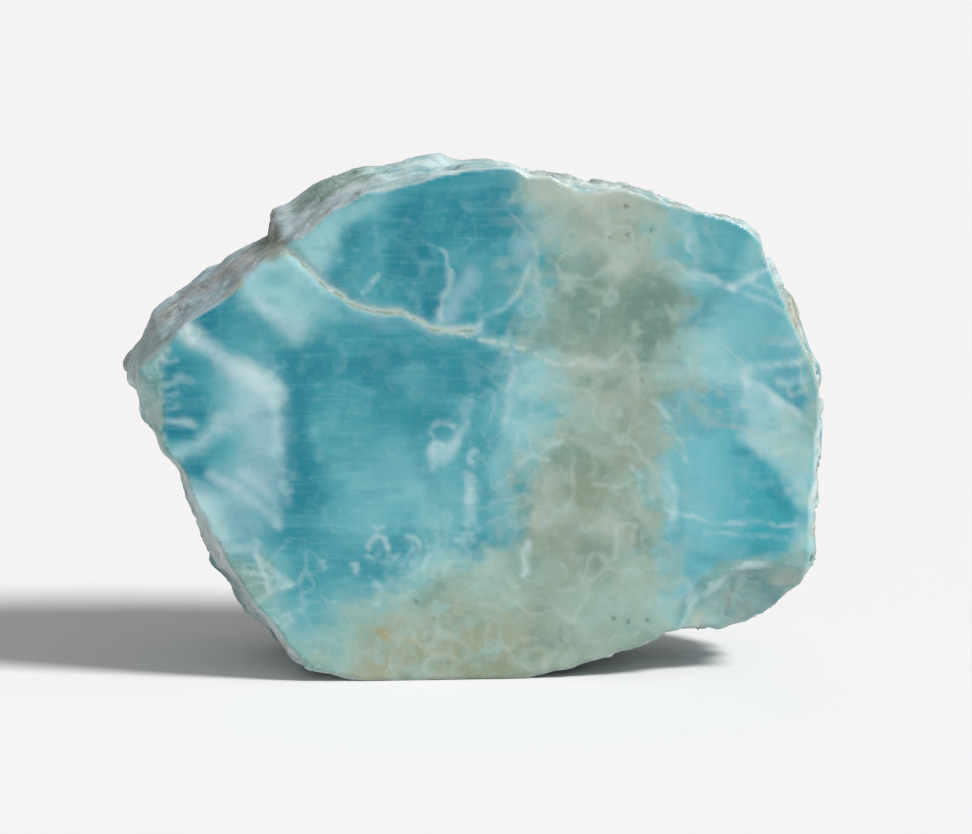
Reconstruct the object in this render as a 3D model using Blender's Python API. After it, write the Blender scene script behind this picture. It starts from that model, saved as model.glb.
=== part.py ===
"""Rough larimar: a hand-sized lump of blue pectolite, sawn flat on one side and broken rough all round.

One natural piece, standing on its own flattened underside. The saw cut faces -Y, the stone's left
tip points to -X, and the origin is on the surface that it stands on, below the middle of its box.
Every size here is in millimetres; MM turns them into metres when the mesh is made.
"""

import math

import bmesh
import bpy
from mathutils import Vector, noise

MM = 0.001

# Driving sizes. The outline below sets the width and the height: 80 mm by 60 mm.
THICKNESS = 27.0
SAWN_Y = -THICKNESS / 2
WIDEST_DEPTH = 10.0
BACK_EDGE_DEPTH = 21.0
BACK_INSET = 4.0

# Outline of the saw cut, clockwise from its left tip. Each point has its place across and its height, and
# then how far the broken side behind it leans out of the cut's outline: at the widest depth, and at the
# back edge. A lean below zero falls in.
SAWN_OUTLINE = (
    (-38.6, 36.9, -0.3, -0.4),
    (-35.7, 39.7, 1.5, 1.8),
    (-32.7, 42.3, 0.8, 1.0),
    (-28.4, 45.2, 1.0, 1.2),
    (-26.5, 47.4, 0.7, 0.5),
    (-23.6, 49.9, -0.2, -0.7),
    (-22.5, 50.1, 0.4, -0.3),
    (-21.6, 50.6, 1.4, 2.0),
    (-19.7, 52.2, 0.5, 1.0),
    (-16.4, 54.9, 0.5, 0.9),
    (-12.4, 56.9, 0.5, 0.3),
    (-6.5, 58.3, 0.3, -0.1),
    (-2.5, 59.4, -1.0, -1.9),
    (2.9, 59.8, -0.6, -2.0),
    (5.0, 59.7, -0.9, -2.7),
    (6.4, 58.7, -1.2, -3.4),
    (7.8, 58.9, -1.0, -3.2),
    (13.6, 57.2, -0.9, -3.2),
    (18.2, 57.0, -1.8, -3.9),
    (23.6, 55.1, -1.4, -3.5),
    (27.5, 54.2, -2.3, -4.3),
    (31.2, 52.6, -1.8, -3.7),
    (32.9, 51.0, -1.0, -3.0),
    (33.3, 49.6, -0.2, -2.3),
    (35.5, 44.9, 0.4, -1.5),
    (37.6, 39.9, 0.9, -1.0),
    (39.2, 36.4, 0.2, -1.6),
    (40.0, 33.9, 0.5, -1.2),
    (40.0, 28.6, 0.0, -1.6),
    (39.3, 19.2, -0.6, -2.0),
    (39.5, 13.8, 0.0, -1.6),
    (38.0, 10.5, 0.5, -1.3),
    (34.8, 7.6, 1.0, -0.8),
    (32.0, 6.3, 1.0, -0.6),
    (28.5, 4.8, 1.1, -0.1),
    (22.7, 5.0, -0.3, -0.9),
    (19.1, 3.3, 0.3, -0.1),
    (12.1, 1.1, 0.9, 1.1),
    (6.0, 0.0, 0.0, 0.0),
    (-13.6, 0.0, 0.0, 0.0),
    (-19.0, 1.1, 0.6, 0.8),
    (-20.6, 2.6, 0.2, 0.8),
    (-25.3, 8.7, 1.4, 2.6),
    (-28.8, 14.2, 1.3, 2.5),
    (-32.2, 20.8, -0.0, 1.0),
    (-33.8, 25.0, -1.4, -0.8),
    (-35.6, 26.9, -0.4, -0.1),
    (-36.9, 29.4, 0.1, 0.2),
    (-38.0, 32.7, -0.2, -0.4),
    (-38.8, 34.4, 0.6, 0.2),
)

# The natural breaks that shape the back, each a plane given by a point on it and the way that it faces.
BACK_BREAKS = (
    ((0.0, 13.3, 28.0), (0.06, 1.0, 0.10)),
    ((24.0, 9.5, 46.0), (0.42, 0.74, 0.52)),
    ((33.0, 6.0, 22.0), (0.80, 0.60, -0.06)),
    ((22.0, 9.5, 9.0), (0.34, 0.74, -0.58)),
    ((-24.0, 11.4, 12.0), (-0.36, 0.86, -0.36)),
    ((-30.0, 10.6, 38.0), (-0.50, 0.86, 0.10)),
    ((2.0, 9.4, 55.0), (0.02, 0.66, 0.75)),
)

# Chips knocked off the sawn face's edge. Each is the dish that a ball of that radius leaves, centred on a
# point of the face's plane, with its rim that wide and its bottom that deep.
EDGE_CHIPS = (
    # across, height, rim radius, depth
    (34.0, 2.2, 11.0, 3.0),
    (13.4, 60.6, 4.6, 1.1),
    (-40.6, 31.2, 5.6, 1.0),
)

# The crack from the notch on the upper left across the sawn face, half healed: a narrow groove with one
# pit, its width and depth shrinking to nothing at its right end.
CRACK = ((-23.2, 51.0), (-21.7, 50.4), (-20.2, 49.6), (-18.5, 47.8), (-16.9, 46.2), (-15.1, 45.1),
         (-13.7, 44.0), (-11.7, 43.4), (-8.3, 43.0), (-5.7, 41.8), (-4.0, 41.0), (-2.2, 40.9))
CRACK_HALF_WIDTH = 0.85
CRACK_DEPTH = 0.9
PIT = (-14.4, 44.6)
PIT_RADIUS = 0.9
PIT_DEPTH = 0.9

# The rough surface of the breaks: swells, flat facets at odd tilts, scooped flakes with ridges between
# them, and fine grain, each by its size and its height.
SWELL_SIZE, SWELL_HEIGHT = 14.0, 0.7
FACET_SIZE, FACET_HEIGHT = 9.0, 2.2
FLAKE_SIZE, FLAKE_HEIGHT = 4.4, 0.7
GRAIN_SIZE, GRAIN_HEIGHT = 1.8, 0.12
LEDGE_PITCH, LEDGE_HEIGHT = 5.2, 0.65
KNOB_SIZE, KNOB_HEIGHT = 6.5, 1.0
RIM_BEVEL = 0.45
FOOT_BAND = 0.30

REMESH_SIZE = 0.5
MOST_TRIANGLES = 9200

LARIMAR_BLUE = (0.10, 0.37, 0.42, 1.0)


def clamp(value, low=0.0, high=1.0):
    return max(low, min(high, value))


def smooth_step(value, low, high):
    """0 up to low, 1 from high on, with an even curve between them."""
    t = clamp((value - low) / (high - low))
    return t * t * (3 - 2 * t)


def outline_at(lean_widest, lean_back, inset):
    """The saw cut's outline, leant out by shares of its two leans and taken in all round by an inset."""
    count = len(SAWN_OUTLINE)
    moved = []
    for i, (x, z, widest, back) in enumerate(SAWN_OUTLINE):
        before, after = SAWN_OUTLINE[i - 1], SAWN_OUTLINE[(i + 1) % count]
        along = Vector((after[0] - before[0], after[1] - before[1])).normalized()
        outward = Vector((-along.y, along.x))
        reach = widest * lean_widest + back * lean_back - inset
        moved.append((x + outward.x * reach, max(0.0, z + outward.y * reach)))
    return moved


def lofted_block():
    """The lump before any break: the outline at four depths behind the saw cut, joined by faces."""
    stations = (
        (0.0, outline_at(0.0, 0.0, 0.0)),
        (WIDEST_DEPTH, outline_at(1.0, 0.0, 0.0)),
        (BACK_EDGE_DEPTH, outline_at(0.0, 1.0, 0.0)),
        (THICKNESS, outline_at(0.0, 1.0, BACK_INSET)),
    )
    bm = bmesh.new()
    rings = [[bm.verts.new((x, SAWN_Y + depth, z)) for x, z in outline] for depth, outline in stations]
    for near, far in zip(rings, rings[1:]):
        for i in range(len(near)):
            j = (i + 1) % len(near)
            bm.faces.new((near[i], near[j], far[j], far[i]))
    bm.faces.new(rings[0])
    bm.faces.new(rings[-1])
    return bm


def cleave(bm, point, facing):
    """Breaks off all that lies beyond a plane, and closes the cut."""
    geometry = bm.verts[:] + bm.edges[:] + bm.faces[:]
    cut = bmesh.ops.bisect_plane(
        bm, geom=geometry, plane_co=point, plane_no=facing, clear_outer=True, dist=0.001)
    edges = [item for item in cut["geom_cut"] if isinstance(item, bmesh.types.BMEdge)]
    bmesh.ops.edgeloop_fill(bm, edges=edges)


def mesh_object(name, bm):
    """Gives a bmesh in millimetres an object in the scene, its faces pointing out."""
    bmesh.ops.triangulate(bm, faces=bm.faces[:])
    bmesh.ops.recalc_face_normals(bm, faces=bm.faces[:])
    mesh = bpy.data.meshes.new(name)
    bm.to_mesh(mesh)
    bm.free()
    made = bpy.data.objects.new(name, mesh)
    bpy.context.scene.collection.objects.link(made)
    return made


def chip_cutter(number, across, height, rim, depth):
    """A ball in front of the sawn face that takes a dish of that rim radius and depth out of it."""
    radius = (rim * rim + depth * depth) / (2 * depth)
    bm = bmesh.new()
    bmesh.ops.create_icosphere(bm, subdivisions=5, radius=radius)
    bmesh.ops.translate(bm, verts=bm.verts[:], vec=(across, SAWN_Y + depth - radius, height))
    cutter = mesh_object(f"chip_cutter_{number}", bm)
    cutter.hide_render = True
    cutter.display_type = "WIRE"
    return cutter


def apply_modifiers(made):
    """Swaps the object's mesh for the one that its modifiers give, and removes them."""
    graph = bpy.context.evaluated_depsgraph_get()
    finished = bpy.data.meshes.new_from_object(made.evaluated_get(graph))
    made.modifiers.clear()
    made.data = finished


def crack_shape(x, z):
    """How deep the crack is at a point of the sawn face."""
    here = Vector((x, z))
    lengths = [(Vector(b) - Vector(a)).length for a, b in zip(CRACK, CRACK[1:])]
    nearest, share, gone = 1e9, 0.0, 0.0
    for a, b, length in zip(CRACK, CRACK[1:], lengths):
        a, b = Vector(a), Vector(b)
        t = clamp((here - a).dot(b - a) / length ** 2)
        distance = (here - a.lerp(b, t)).length
        if distance < nearest:
            nearest, share = distance, (gone + t * length) / sum(lengths)
        gone += length
    fade = 1.0 - share ** 3
    groove = CRACK_DEPTH * fade * (1 - smooth_step(nearest, 0.1, CRACK_HALF_WIDTH * (0.7 + 0.3 * fade)))
    from_pit = (here - Vector(PIT)).length
    return max(groove, PIT_DEPTH * (1 - smooth_step(from_pit, 0.25, PIT_RADIUS)))


def facets(point, size):
    """Flat faces at odd tilts, blended where they meet, as a hard stone breaks: about -0.6 to 0.6."""
    distances, centres = noise.voronoi(point / size)
    heights = []
    for centre in centres[:2]:
        tilt = Vector([noise.noise(centre * pitch) for pitch in (7.3, 8.9, 11.7)])
        heights.append(1.3 * tilt.dot(point / size - centre) + 0.5 * noise.noise(centre * 3.1))
    share = 0.5 + 0.5 * smooth_step(distances[1] - distances[0], 0.0, 0.18)
    return heights[0] * share + heights[1] * (1.0 - share)


def scooped(point, size):
    """Shallow dishes that meet in sharp ridges, as a hard stone breaks: about -0.3 to 0.7."""
    distance = noise.voronoi(point / size)[0][0]
    return min(distance, 1.0) ** 2 - 0.3


def rough_relief(point, outward):
    """How far a break's surface stands out of its plain form at a point."""
    depth = point.y - SAWN_Y
    # The cleanest breaks are the two on the upper left, and none is rough right at the saw cut.
    clean = clamp(-outward.x * 0.9 + outward.z * 0.5 - outward.y) * smooth_step(point.z, 30.0, 42.0)
    rough = (0.30 + 0.70 * smooth_step(depth, 0.5, 9.0)) * (1.0 - 0.55 * clean)
    back = smooth_step(outward.y, 0.25, 0.75)
    warp = Vector((noise.noise(point / 7.0), noise.noise(point / 7.0 + Vector((9.1, 3.7, 5.3))), 0.0))
    height = SWELL_HEIGHT * noise.fractal(point / SWELL_SIZE, 1.0, 2.0, 3)
    height += FACET_HEIGHT * facets(point + warp * 2.5, FACET_SIZE)
    height += FLAKE_HEIGHT * scooped(point + warp, FLAKE_SIZE)
    height += GRAIN_HEIGHT * noise.fractal(point / GRAIN_SIZE, 1.0, 2.1, 3)
    # Thin plates end in ledges that run round the stone, side by side with the saw cut.
    across_plates = (depth + 2.2 * noise.noise(point / 9.0)) / LEDGE_PITCH
    step = across_plates - math.floor(across_plates)
    height += LEDGE_HEIGHT * (1.0 - back) * (smooth_step(step, 0.0, 0.22) - step)
    # Rounded knobs on the back, where the mineral grew into a hollow of the rock.
    knob_distance = noise.voronoi(point / KNOB_SIZE + Vector((4.4, 1.2, 8.8)))[0][0]
    patch = smooth_step(noise.noise(point / 16.0 + Vector((2.0, 7.0, 1.0))), -0.05, 0.25)
    height += KNOB_HEIGHT * back * patch * (0.55 - knob_distance)
    return height * rough


def shape_surface(mesh):
    """Moves each vertex of the fine mesh from the plain form to the real surface."""
    moved = []
    for vertex in mesh.vertices:
        point, outward = vertex.co.copy(), vertex.normal.copy()
        depth = point.y - SAWN_Y
        on_cut = depth < 0.12 and outward.y < -0.9
        on_foot = point.z < FOOT_BAND and outward.z < -0.75
        if on_cut:
            point.y = SAWN_Y + crack_shape(point.x, point.z)
        elif not on_foot:
            near_cut = smooth_step(depth, 0.05, 1.2)
            height = rough_relief(point, outward) * near_cut
            if outward.y > -0.9:
                height -= RIM_BEVEL * (1.0 - smooth_step(depth, 0.0, 1.4)) * (
                    0.55 + 0.9 * noise.noise(point / 3.1))
            point += outward * height * (1.0 - smooth_step(-outward.z, 0.80, 0.97) * smooth_step(8.0 - point.z, 5.0, 7.5))
        if on_foot:
            point.z = 0.0
        point.y = max(point.y, SAWN_Y)
        point.z = max(point.z, 0.0)
        moved.append(point)
    for vertex, point in zip(mesh.vertices, moved):
        vertex.co = point


def thin_out(made):
    """Takes the mesh down to its budget of triangles, most of them kept where the surface bends."""
    made.data.calc_loop_triangles()
    reducer = made.modifiers.new("thin_out", "DECIMATE")
    reducer.ratio = MOST_TRIANGLES / len(made.data.loop_triangles)
    reducer.use_collapse_triangulate = True
    apply_modifiers(made)


def settle(mesh):
    """Flattens what belongs to the saw cut and the foot, and sets the origin under the box's middle."""
    for vertex in mesh.vertices:
        if vertex.co.y < SAWN_Y + 0.03:
            vertex.co.y = SAWN_Y
        if vertex.co.z < 0.05:
            vertex.co.z = 0.0
    low = [min(v.co[axis] for v in mesh.vertices) for axis in range(3)]
    high = [max(v.co[axis] for v in mesh.vertices) for axis in range(3)]
    shift = Vector((-(low[0] + high[0]) / 2, -(low[1] + high[1]) / 2, -low[2]))
    for vertex in mesh.vertices:
        vertex.co = (vertex.co + shift) * MM


def larimar_material():
    material = bpy.data.materials.new("larimar")
    material.use_nodes = True
    shader = material.node_tree.nodes["Principled BSDF"]
    shader.inputs["Base Color"].default_value = LARIMAR_BLUE
    shader.inputs["Roughness"].default_value = 0.35
    shader.inputs["Metallic"].default_value = 0.0
    return material


def build_stone():
    """The whole stone: block, breaks, chips, rough surface, and the triangles cut to their budget."""
    block = lofted_block()
    for point, facing in BACK_BREAKS:
        cleave(block, point, facing)
    stone = mesh_object("larimar_stone", block)
    cutters = [chip_cutter(number, *chip) for number, chip in enumerate(EDGE_CHIPS, start=1)]
    for cutter in cutters:
        cut = stone.modifiers.new(cutter.name, "BOOLEAN")
        cut.operation = "DIFFERENCE"
        cut.object = cutter
    finer = stone.modifiers.new("even_mesh", "REMESH")
    finer.mode = "VOXEL"
    finer.voxel_size = REMESH_SIZE
    apply_modifiers(stone)
    for cutter in cutters:
        bpy.data.objects.remove(cutter)
    shape_surface(stone.data)
    thin_out(stone)
    settle(stone.data)
    stone.data.materials.clear()
    stone.data.materials.append(larimar_material())
    stone.data.shade_smooth()
    stone.data.set_sharp_from_angle(angle=math.radians(28))


for leftover in list(bpy.data.objects):
    bpy.data.objects.remove(leftover)
build_stone()
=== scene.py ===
"""Rough larimar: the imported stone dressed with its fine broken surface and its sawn, wet-polished face."""

import math

import bmesh
import bpy
import numpy as np
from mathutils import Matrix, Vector, noise as solid_noise


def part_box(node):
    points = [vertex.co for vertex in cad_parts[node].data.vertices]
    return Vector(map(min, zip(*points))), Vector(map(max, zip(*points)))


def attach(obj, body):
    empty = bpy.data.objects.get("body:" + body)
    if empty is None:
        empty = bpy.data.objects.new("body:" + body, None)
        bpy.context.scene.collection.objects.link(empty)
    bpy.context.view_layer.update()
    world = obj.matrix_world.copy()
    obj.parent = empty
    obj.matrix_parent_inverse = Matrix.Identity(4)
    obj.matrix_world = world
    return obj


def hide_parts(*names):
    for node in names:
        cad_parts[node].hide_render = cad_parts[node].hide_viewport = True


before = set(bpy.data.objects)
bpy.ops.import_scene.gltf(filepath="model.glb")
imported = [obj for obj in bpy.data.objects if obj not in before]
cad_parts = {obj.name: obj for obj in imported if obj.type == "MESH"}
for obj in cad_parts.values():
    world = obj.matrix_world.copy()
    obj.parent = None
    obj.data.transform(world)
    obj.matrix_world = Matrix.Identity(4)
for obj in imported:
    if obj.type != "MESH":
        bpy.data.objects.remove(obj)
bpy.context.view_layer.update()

# The view: a long lens from in front, a little to the stone's left and a little above it, level with
# its middle, as a small stone is photographed on a table.
MM = 0.001
CUT_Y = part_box("larimar_stone")[0][1] / MM

view = bpy.data.objects.new("view", bpy.data.cameras.new("view"))
bpy.context.scene.collection.objects.link(view)
bpy.context.scene.camera = view
view_turn = math.radians(-4.0)
view_rise = math.radians(10.0)
view_distance = 600.0
picture_width = 972
pixels_per_mm = 8.73
toward_view = Vector((
    math.sin(view_turn) * math.cos(view_rise),
    -math.cos(view_turn) * math.cos(view_rise),
    math.sin(view_rise)))
view_aim = Vector((1.05, CUT_Y, 30.8))
view.location = (view_aim + toward_view * view_distance) * MM
view.rotation_euler = (-toward_view).to_track_quat("-Z", "Y").to_euler()
view.data.sensor_width = 36.0
view.data.lens = pixels_per_mm * view_distance / picture_width * view.data.sensor_width
view.data.clip_start = 0.01
view.data.clip_end = 20.0


# The stone's form: one lump of pectolite, sawn on one side and broken on all the others. Its fine mesh is
# made from the solid, with its facets rounded a little and the breaks' ledges, flakes and grain added.
class Wire:
    """One output of a node. Python's operators on it add Math nodes, and node() adds any other node."""

    tree = None

    def __init__(self, socket):
        self.socket = socket

    @classmethod
    def node(cls, kind, settings=None, inputs=None, output=0):
        """Adds a node, sets its settings and then its sockets, and wraps one of its outputs."""
        made = cls.tree.nodes.new(kind)
        for name, value in (settings or {}).items():
            if name == "course":
                curve = made.mapping.curves[0]
                for _ in value[2:]:
                    curve.points.new(0.5, 0.5)
                made.mapping.use_clip = False
                for point, (x, y) in zip(curve.points, value):
                    point.location = (x, y)
                for point in (*curve.points[:2], *curve.points[-2:]):
                    point.handle_type = "VECTOR"
                made.mapping.update()
            else:
                setattr(made, name, value)
        for key, value in (inputs or {}).items():
            if isinstance(value, Wire):
                cls.tree.links.new(value.socket, made.inputs[key])
            else:
                made.inputs[key].default_value = value
        return cls(made.outputs[output])

    def math(self, operation, *others):
        inputs = dict(enumerate((self, *others)))
        return Wire.node("ShaderNodeMath", {"operation": operation}, inputs)

    def vector(self, operation, inputs=None, output=0):
        inputs = {0: self, **(inputs or {})}
        return Wire.node("ShaderNodeVectorMath", {"operation": operation}, inputs, output)

    def __add__(self, other):
        return self.math("ADD", other)

    def __radd__(self, other):
        return self.math("ADD", other)

    def __sub__(self, other):
        return self.math("SUBTRACT", other)

    def __rsub__(self, other):
        return Wire.node("ShaderNodeMath", {"operation": "SUBTRACT"}, {0: other, 1: self})

    def __mul__(self, other):
        return self.math("MULTIPLY", other)

    def __rmul__(self, other):
        return self.math("MULTIPLY", other)

    def __abs__(self):
        return self.math("ABSOLUTE")

    def rise(self, low, high, first=0.0, last=1.0):
        """The first value up to low, the last one from high on, and a smooth curve between them."""
        return Wire.node(
            "ShaderNodeMapRange", {"interpolation_type": "SMOOTHSTEP", "clamp": False},
            {"Value": self, "From Min": low, "From Max": high, "To Min": first, "To Max": last})

    def parts(self):
        """The vector's three numbers."""
        first = Wire.node("ShaderNodeSeparateXYZ", None, {0: self})
        return tuple(Wire(socket) for socket in first.socket.node.outputs)


def noise(place, size, detail=3.0, roughness=0.5, distortion=0.0):
    """Noise whose features are about that many millimetres across, around 0.5."""
    return Wire.node(
        "ShaderNodeTexNoise", None,
        {"Vector": place, "Scale": 1.0 / size, "Detail": detail, "Roughness": roughness,
         "Distortion": distortion})


def stretched(place, factors):
    """The place with each axis multiplied, so that a pattern on it is drawn out along the small ones."""
    return place.vector("MULTIPLY", {1: factors})


# How high each form stands, in millimetres, and how far the whole surface is sunk to make room for them.
RELIEF_SIZES = {
    "Swell": 0.22,
    "Ledge": 0.30,
    "Flake": 0.44,
    "Chip": 0.42,
    "Grain": 0.09,
    "Sink": 0.25,
}


def tilted(place, size):
    """Flat flakes of about that size, each tilted its own way."""
    cells = {"Vector": place, "Scale": 1.0 / size}
    tilt = Wire.node("ShaderNodeTexVoronoi", None, cells, 1).vector("SUBTRACT", {1: (0.5, 0.5, 0.5)})
    centre = Wire.node("ShaderNodeTexVoronoi", None, cells, 2)
    return place.vector("SUBTRACT", {1: centre}).vector("DOT_PRODUCT", {1: tilt}, 1)


NOTCH = (-24.0, 54.6)
MOST_LIFT = 0.2


def relief_tree():
    """The nodes that turn the smooth lump into broken stone, each form with its height in millimetres."""
    tree = bpy.data.node_groups.new("broken_relief", "GeometryNodeTree")
    tree.interface.new_socket("Geometry", in_out="INPUT", socket_type="NodeSocketGeometry")
    tree.interface.new_socket("Stone", in_out="INPUT", socket_type="NodeSocketMaterial")
    tree.interface.new_socket("Cut", in_out="INPUT", socket_type="NodeSocketFloat")
    for name in RELIEF_SIZES:
        tree.interface.new_socket(name, in_out="INPUT", socket_type="NodeSocketFloat")
    tree.interface.new_socket("Geometry", in_out="OUTPUT", socket_type="NodeSocketGeometry")
    Wire.tree = tree
    given = tree.nodes.new("NodeGroupInput")
    asked = {socket.name: Wire(socket) for socket in given.outputs if socket.name}

    where = Wire.node("GeometryNodeInputPosition")
    millimetres = where.vector("SCALE", {"Scale": 1.0 / MM})
    across, depth, height = millimetres.parts()
    depth = depth - asked["Cut"]
    broken = depth.rise(0.25, 1.3) * height.rise(0.2, 1.4)

    rounded = Wire.node(
        "GeometryNodeBlurAttribute", {"data_type": "FLOAT_VECTOR"},
        {"Value": where, "Iterations": 2, "Weight": broken * 0.9})
    softened = Wire.node(
        "GeometryNodeSetPosition", None, {"Geometry": asked["Geometry"], "Position": rounded})

    # The clean breaks on the upper left carry fine ribs side by side with the saw cut, and few flakes.
    clean = across.rise(8.0, 2.0) * height.rise(32.0, 38.0) * (1 - depth.rise(22.0, 27.0))
    low_left = across.rise(-18.0, -25.0) * (1 - height.rise(36.0, 41.0)) * (1 - depth.rise(18.0, 24.0))
    smooth_lobe = across.rise(19.0, 24.0) * (1 - height.rise(11.5, 14.0)) * (1 - depth.rise(4.0, 8.0))
    rough = (1 - clean * 0.86) * (1 - smooth_lobe * 0.8) * (1 - low_left * 0.7)
    swell = noise(millimetres, 5.0, 3.0) - 0.5
    layered = noise(stretched(millimetres, (0.5, 2.2, 0.5)), 9.0, 2.0) * 9.0 + depth * 0.34
    step = layered - layered.math("FLOOR")
    ledge = step.rise(0.0, 0.22) - step
    bent = millimetres.vector("ADD", {1: Wire.node(
        "ShaderNodeTexNoise", None, {"Vector": millimetres, "Scale": 0.3, "Detail": 2.0}, 1)})
    grain = noise(millimetres, 0.6, 3.0, 0.6) - 0.5
    ribs = noise(stretched(millimetres, (0.14, 1.0, 0.14)), 0.9, 3.0, 0.55) - 0.5
    lift = (
        asked["Swell"] * swell * (2 - smooth_lobe) * (1 - clean * 0.5) * (1 - low_left * 0.5)
        + asked["Ledge"] * ledge * (1 - clean * 0.6) * (1 - smooth_lobe * 0.9)
        + asked["Flake"] * tilted(bent, 5.2) * rough
        + asked["Chip"] * tilted(bent, 2.1) * rough
        + asked["Grain"] * grain * 2
        + ribs * clean * 0.26)
    # The stone is worn back beside the notch.
    aside, above = across - NOTCH[0], height - NOTCH[1]
    worn = (aside * aside + above * above).rise(0.5, 7.0, 0.9, 0.0)
    lift = (lift - asked["Sink"] - worn).math("MINIMUM", MOST_LIFT)
    outward = Wire.node("GeometryNodeInputNormal").vector("SCALE", {"Scale": lift * broken * MM})
    moved = Wire.node("GeometryNodeSetPosition", None, {"Geometry": softened, "Offset": outward})
    whole = Wire.node("GeometryNodeRealizeInstances", None, {0: moved})
    dressed = Wire.node(
        "GeometryNodeSetMaterial", None, {"Geometry": whole, "Material": asked["Stone"]})
    result = tree.nodes.new("NodeGroupOutput")
    tree.links.new(dressed.socket, result.inputs[0])
    return tree


def with_modifiers(piece):
    """The mesh that the piece's modifiers give, in place of its own, with the modifiers removed."""
    graph = bpy.context.evaluated_depsgraph_get()
    finished = bpy.data.meshes.new_from_object(piece.evaluated_get(graph))
    piece.modifiers.clear()
    piece.data = finished
    return finished


FINE_MESH = 0.30
FLAT_WITHIN = 0.04
PATTERN_SHIFT = 0.45
MOST_TRIANGLES = 190000

stone = bpy.data.objects.new("larimar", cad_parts["larimar_stone"].data.copy())
bpy.context.scene.collection.objects.link(stone)
lump = bmesh.new()
lump.from_mesh(stone.data)
bmesh.ops.remove_doubles(lump, verts=lump.verts[:], dist=0.001 * MM)
lump.to_mesh(stone.data)
lump.free()
larimar = bpy.data.materials.new("larimar")

fine = stone.modifiers.new("fine", "REMESH")
fine.mode = "VOXEL"
fine.voxel_size = FINE_MESH * MM
with_modifiers(stone)
relief = stone.modifiers.new("relief", "NODES")
relief.node_group = relief_tree()
for socket in relief.node_group.interface.items_tree:
    if socket.in_out == "INPUT" and socket.name in RELIEF_SIZES:
        relief[socket.identifier] = RELIEF_SIZES[socket.name]
    elif socket.in_out == "INPUT" and socket.name == "Cut":
        relief[socket.identifier] = CUT_Y
    elif socket.in_out == "INPUT" and socket.name == "Stone":
        relief[socket.identifier] = larimar
mesh = with_modifiers(stone)
mesh.calc_loop_triangles()
off_cut = [vertex.index for vertex in mesh.vertices if vertex.co.y > (CUT_Y + FINE_MESH) * MM]
stone.vertex_groups.new(name="off the cut").add(off_cut, 1.0, "REPLACE")
thinner = stone.modifiers.new("thinner", "DECIMATE")
thinner.vertex_group = "off the cut"
thinner.ratio = min(1.0, MOST_TRIANGLES / len(mesh.loop_triangles))
mesh = with_modifiers(stone)
stone.vertex_groups.clear()

# The saw cut and the foot are flat, and the cut's edge is crisp.
places = np.empty(len(mesh.vertices) * 3, np.float32)
mesh.vertices.foreach_get("co", places)
places = places.reshape(-1, 3)
flat_cut = places[:, 1] < (CUT_Y + FLAT_WITHIN) * MM
places[flat_cut, 1] = CUT_Y * MM
places[places[:, 2] < FLAT_WITHIN * MM, 2] = 0.0

# The crack from the notch is healed, so it is hardly sunk into the cut: little of the groove is left.
GROOVE_LEFT = 0.22
GROOVE_REACH = 1.8
GROOVE_DEPTH = 2.5
CRACK = (
    (-22.5, 50.8), (-21.5, 50.3), (-20.2, 49.6), (-18.5, 47.8), (-16.9, 46.2), (-15.1, 45.1),
    (-13.7, 44.0), (-11.7, 43.4), (-10.0, 43.1), (-8.3, 43.0), (-6.9, 42.4), (-5.7, 41.8),
    (-4.9, 41.2), (-4.0, 41.0), (-2.2, 40.9), (-0.5, 41.0), (0.6, 41.0))


def from_line(corners, x, z):
    """How far each point lies from a line through these corners, each given as (across, height)."""
    nearest = np.full(len(x), 99.0)
    for (x0, z0), (x1, z1) in zip(corners, corners[1:]):
        run, climb = x1 - x0, z1 - z0
        along = np.clip(((x - x0) * run + (z - z0) * climb) / (run * run + climb * climb), 0, 1)
        nearest = np.minimum(nearest, np.hypot(x - x0 - along * run, z - z0 - along * climb))
    return nearest


crack_far = from_line(CRACK[1:], places[:, 0] / MM + PATTERN_SHIFT, places[:, 2] / MM)
in_groove = (crack_far < GROOVE_REACH) & (places[:, 1] < (CUT_Y + GROOVE_DEPTH) * MM)
left = np.interp(places[in_groove, 0] / MM, (-23.0, -19.5), (1.0, GROOVE_LEFT))
places[in_groove, 1] = CUT_Y * MM + (places[in_groove, 1] - CUT_Y * MM) * left
mesh.vertices.foreach_set("co", places.ravel())
mesh.shade_smooth()
on_cut = {face.index for face in mesh.polygons if all(flat_cut[v] for v in face.vertices)}
shaping = bmesh.new()
shaping.from_mesh(mesh)
shaping.faces.ensure_lookup_table()
for edge in shaping.edges:
    faces = edge.link_faces
    if len(faces) == 2 and (faces[0].index in on_cut) != (faces[1].index in on_cut):
        edge.smooth = False
shaping.to_mesh(mesh)
shaping.free()


# The stone's finish. The saw cut shows the mineral's own colours, wet-polished: blue fields, white clouds
# and veins, and a green-grey band. These are painted on the points of the fine mesh, patch over patch.
def shade(red, green, blue):
    """A colour as the eye sees it on a screen, 0 to 255, turned into the light that it reflects."""
    def linear(value):
        value = value / 255
        return value / 12.92 if value <= 0.04045 else ((value + 0.055) / 1.055) ** 2.4
    return (linear(red), linear(green), linear(blue), 1.0)


DEEP = shade(8, 122, 141)
TEAL = shade(52, 146, 159)
SEA = shade(84, 163, 173)
SKY = shade(116, 184, 192)
AQUA = shade(148, 199, 201)
CLOUD = shade(168, 206, 211)
WHITE = shade(200, 222, 224)
LAVENDER = shade(142, 182, 194)
SAGE = shade(100, 134, 121)
MOSS = shade(122, 150, 135)
MINT = shade(154, 186, 175)
BEIGE = shade(174, 184, 170)
OLIVE = shade(134, 148, 124)
OCHRE = shade(165, 150, 98)
AZURE = shade(100, 172, 184)
ORE = shade(62, 78, 72)

RAGGED = 0.26

points = [Vector(place) for place in places / MM]
flat_x = places[:, 0] / MM + PATTERN_SHIFT
depth = places[:, 1] / MM - CUT_Y
flat_z = places[:, 2] / MM
paint = np.tile(np.array(TEAL[:3]), (len(points), 1))


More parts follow.
